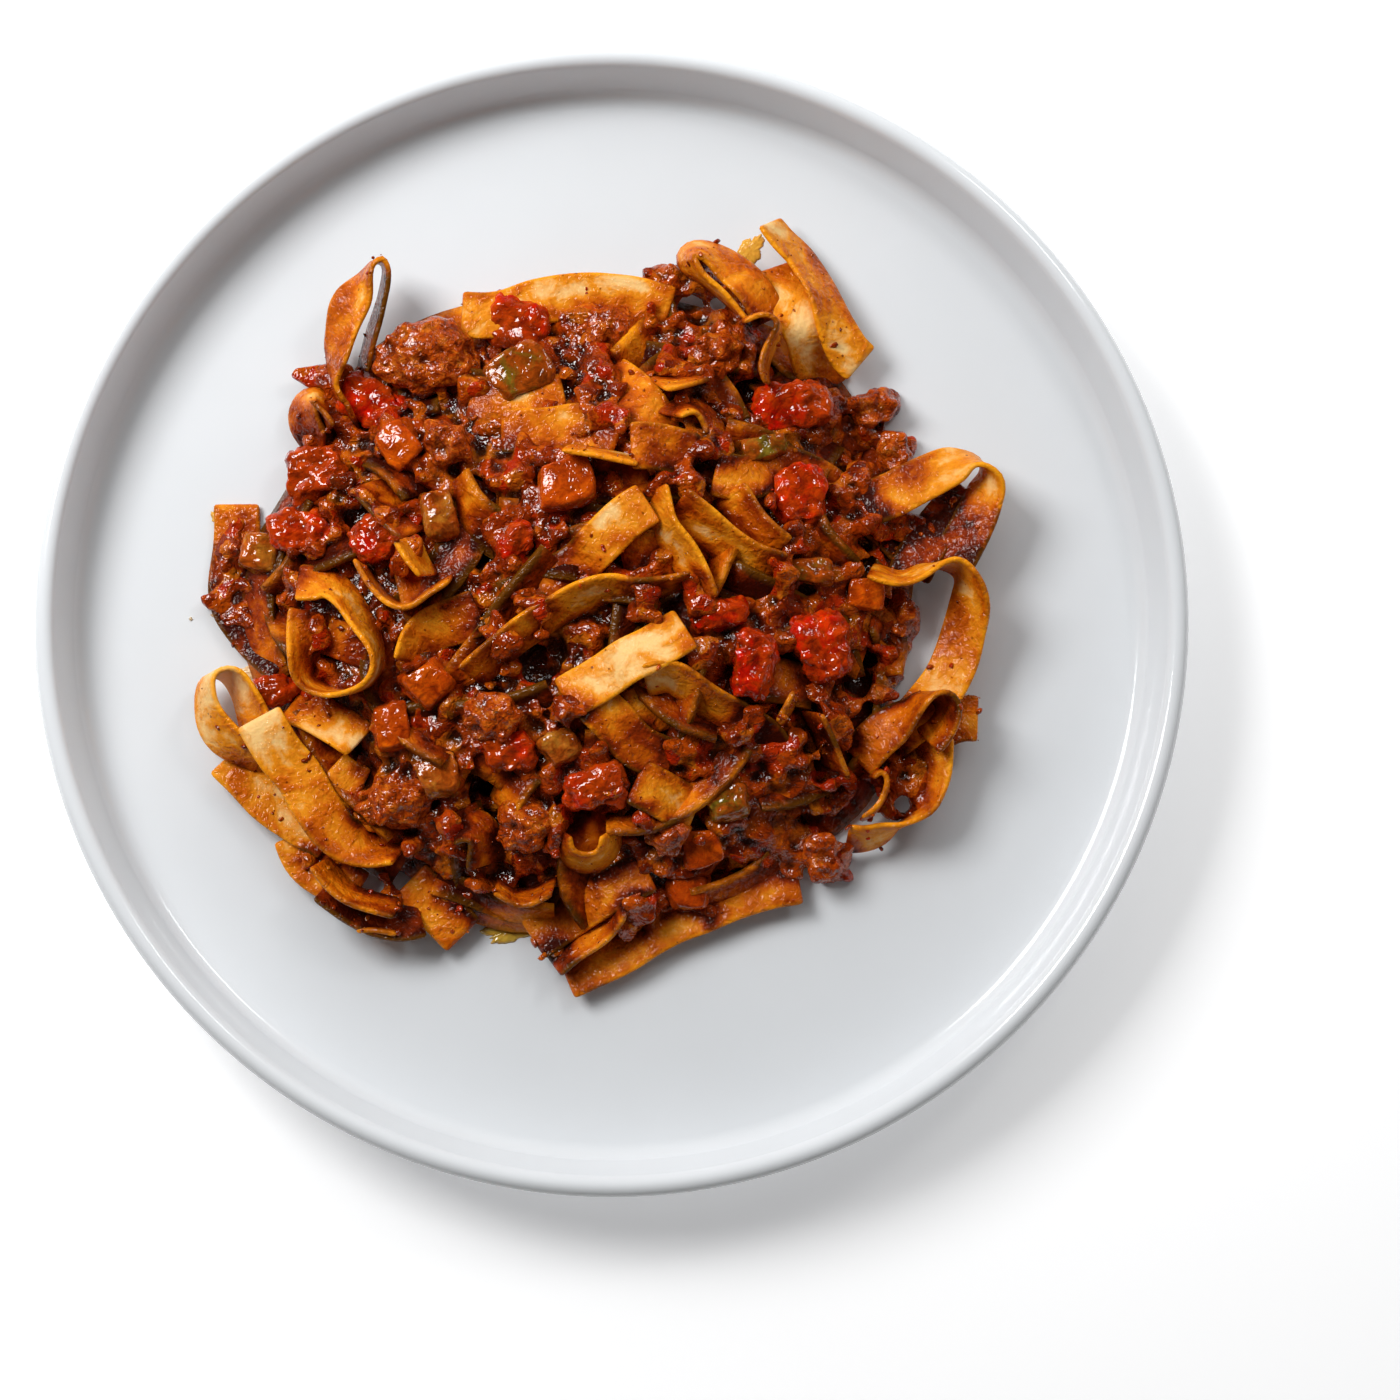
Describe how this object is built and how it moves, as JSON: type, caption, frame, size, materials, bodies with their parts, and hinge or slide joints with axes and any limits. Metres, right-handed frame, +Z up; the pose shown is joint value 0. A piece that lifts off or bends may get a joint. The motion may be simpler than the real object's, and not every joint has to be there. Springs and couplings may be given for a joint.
{
  "type": "plated tagliatelle bolognese",
  "caption": "Heap of flat ribbon pasta with bolognese meat sauce and diced vegetables, on a round flat-bottomed white plate with a low upright rim.",
  "frame": {"origin": "middle of the plate's underside, at the height of its foot ring", "axes": "+Z up, out of the plate; -Y towards the side that the picture is taken from; +X to the right in the picture"},
  "size_m": [0.25, 0.25, 0.0377],
  "materials": {
    "porcelain": "glossy white glaze",
    "pasta": "cooked egg pasta, wet with oil and sauce",
    "tomato": "cooked tomato, wet",
    "carrot": "cooked carrot, wet",
    "celery": "cooked celery, wet",
    "onion": "cooked onion, translucent, wet",
    "meat": "browned minced meat in sauce, rough and wet"
  },
  "bodies": {
    "root": {"plate": "porcelain", "pasta": "pasta", "tomato_1": "tomato", "tomato_2": "tomato", "tomato_3": "tomato", "tomato_4": "tomato", "tomato_5": "tomato", "tomato_6": "tomato", "tomato_7": "tomato", "tomato_8": "tomato", "tomato_9": "tomato", "tomato_10": "tomato", "tomato_11": "tomato", "tomato_12": "tomato", "tomato_13": "tomato", "tomato_14": "tomato", "carrot_1": "carrot", "carrot_2": "carrot", "carrot_3": "carrot", "carrot_4": "carrot", "carrot_5": "carrot", "carrot_6": "carrot", "carrot_7": "carrot", "celery_1": "celery", "celery_2": "celery", "celery_3": "celery", "celery_4": "celery", "celery_5": "celery", "onion_1": "onion", "onion_2": "onion", "onion_3": "onion", "onion_4": "onion", "meat_1": "meat", "meat_2": "meat", "meat_3": "meat", "meat_4": "meat", "meat_5": "meat", "meat_6": "meat", "meat_7": "meat", "meat_8": "meat", "meat_9": "meat", "meat_10": "meat", "meat_11": "meat", "meat_12": "meat"}
  },
  "joints": []
}
